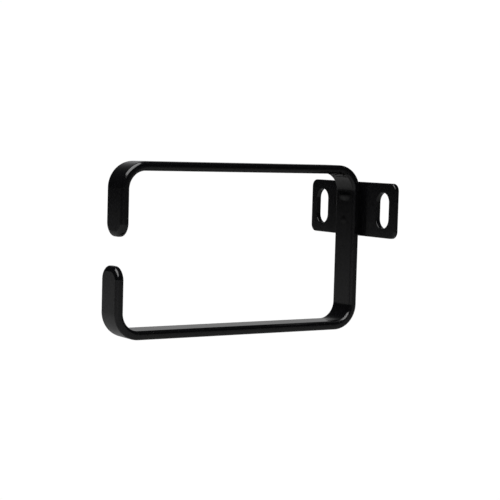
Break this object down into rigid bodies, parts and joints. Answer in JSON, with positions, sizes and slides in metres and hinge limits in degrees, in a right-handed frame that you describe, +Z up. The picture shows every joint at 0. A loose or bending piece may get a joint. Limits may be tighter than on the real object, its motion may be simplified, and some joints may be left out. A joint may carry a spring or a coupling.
{
  "type": "hair dryer holder",
  "caption": "Open rectangular ring of bent flat bar on a slotted wall plate. A hair dryer's barrel rests in the ring, and a cord slips in through the gap at its front.",
  "frame": {"origin": "middle of the mounting plate's back face, on the wall", "axes": "+Z up, +Y into the wall, so the ring reaches out to -Y; X runs along the wall and across the bar's width"},
  "size_m": [0.065, 0.1285, 0.076],
  "materials": {
    "powder_coat": "semi-gloss black powder coat with a slight orange peel",
    "weld_metal": "bare steel, melted and set"
  },
  "bodies": {
    "root": {"ring_strap": "powder_coat", "mounting_plate": "powder_coat", "upper_weld_nugget": "weld_metal", "lower_weld_nugget": "weld_metal"}
  },
  "joints": []
}
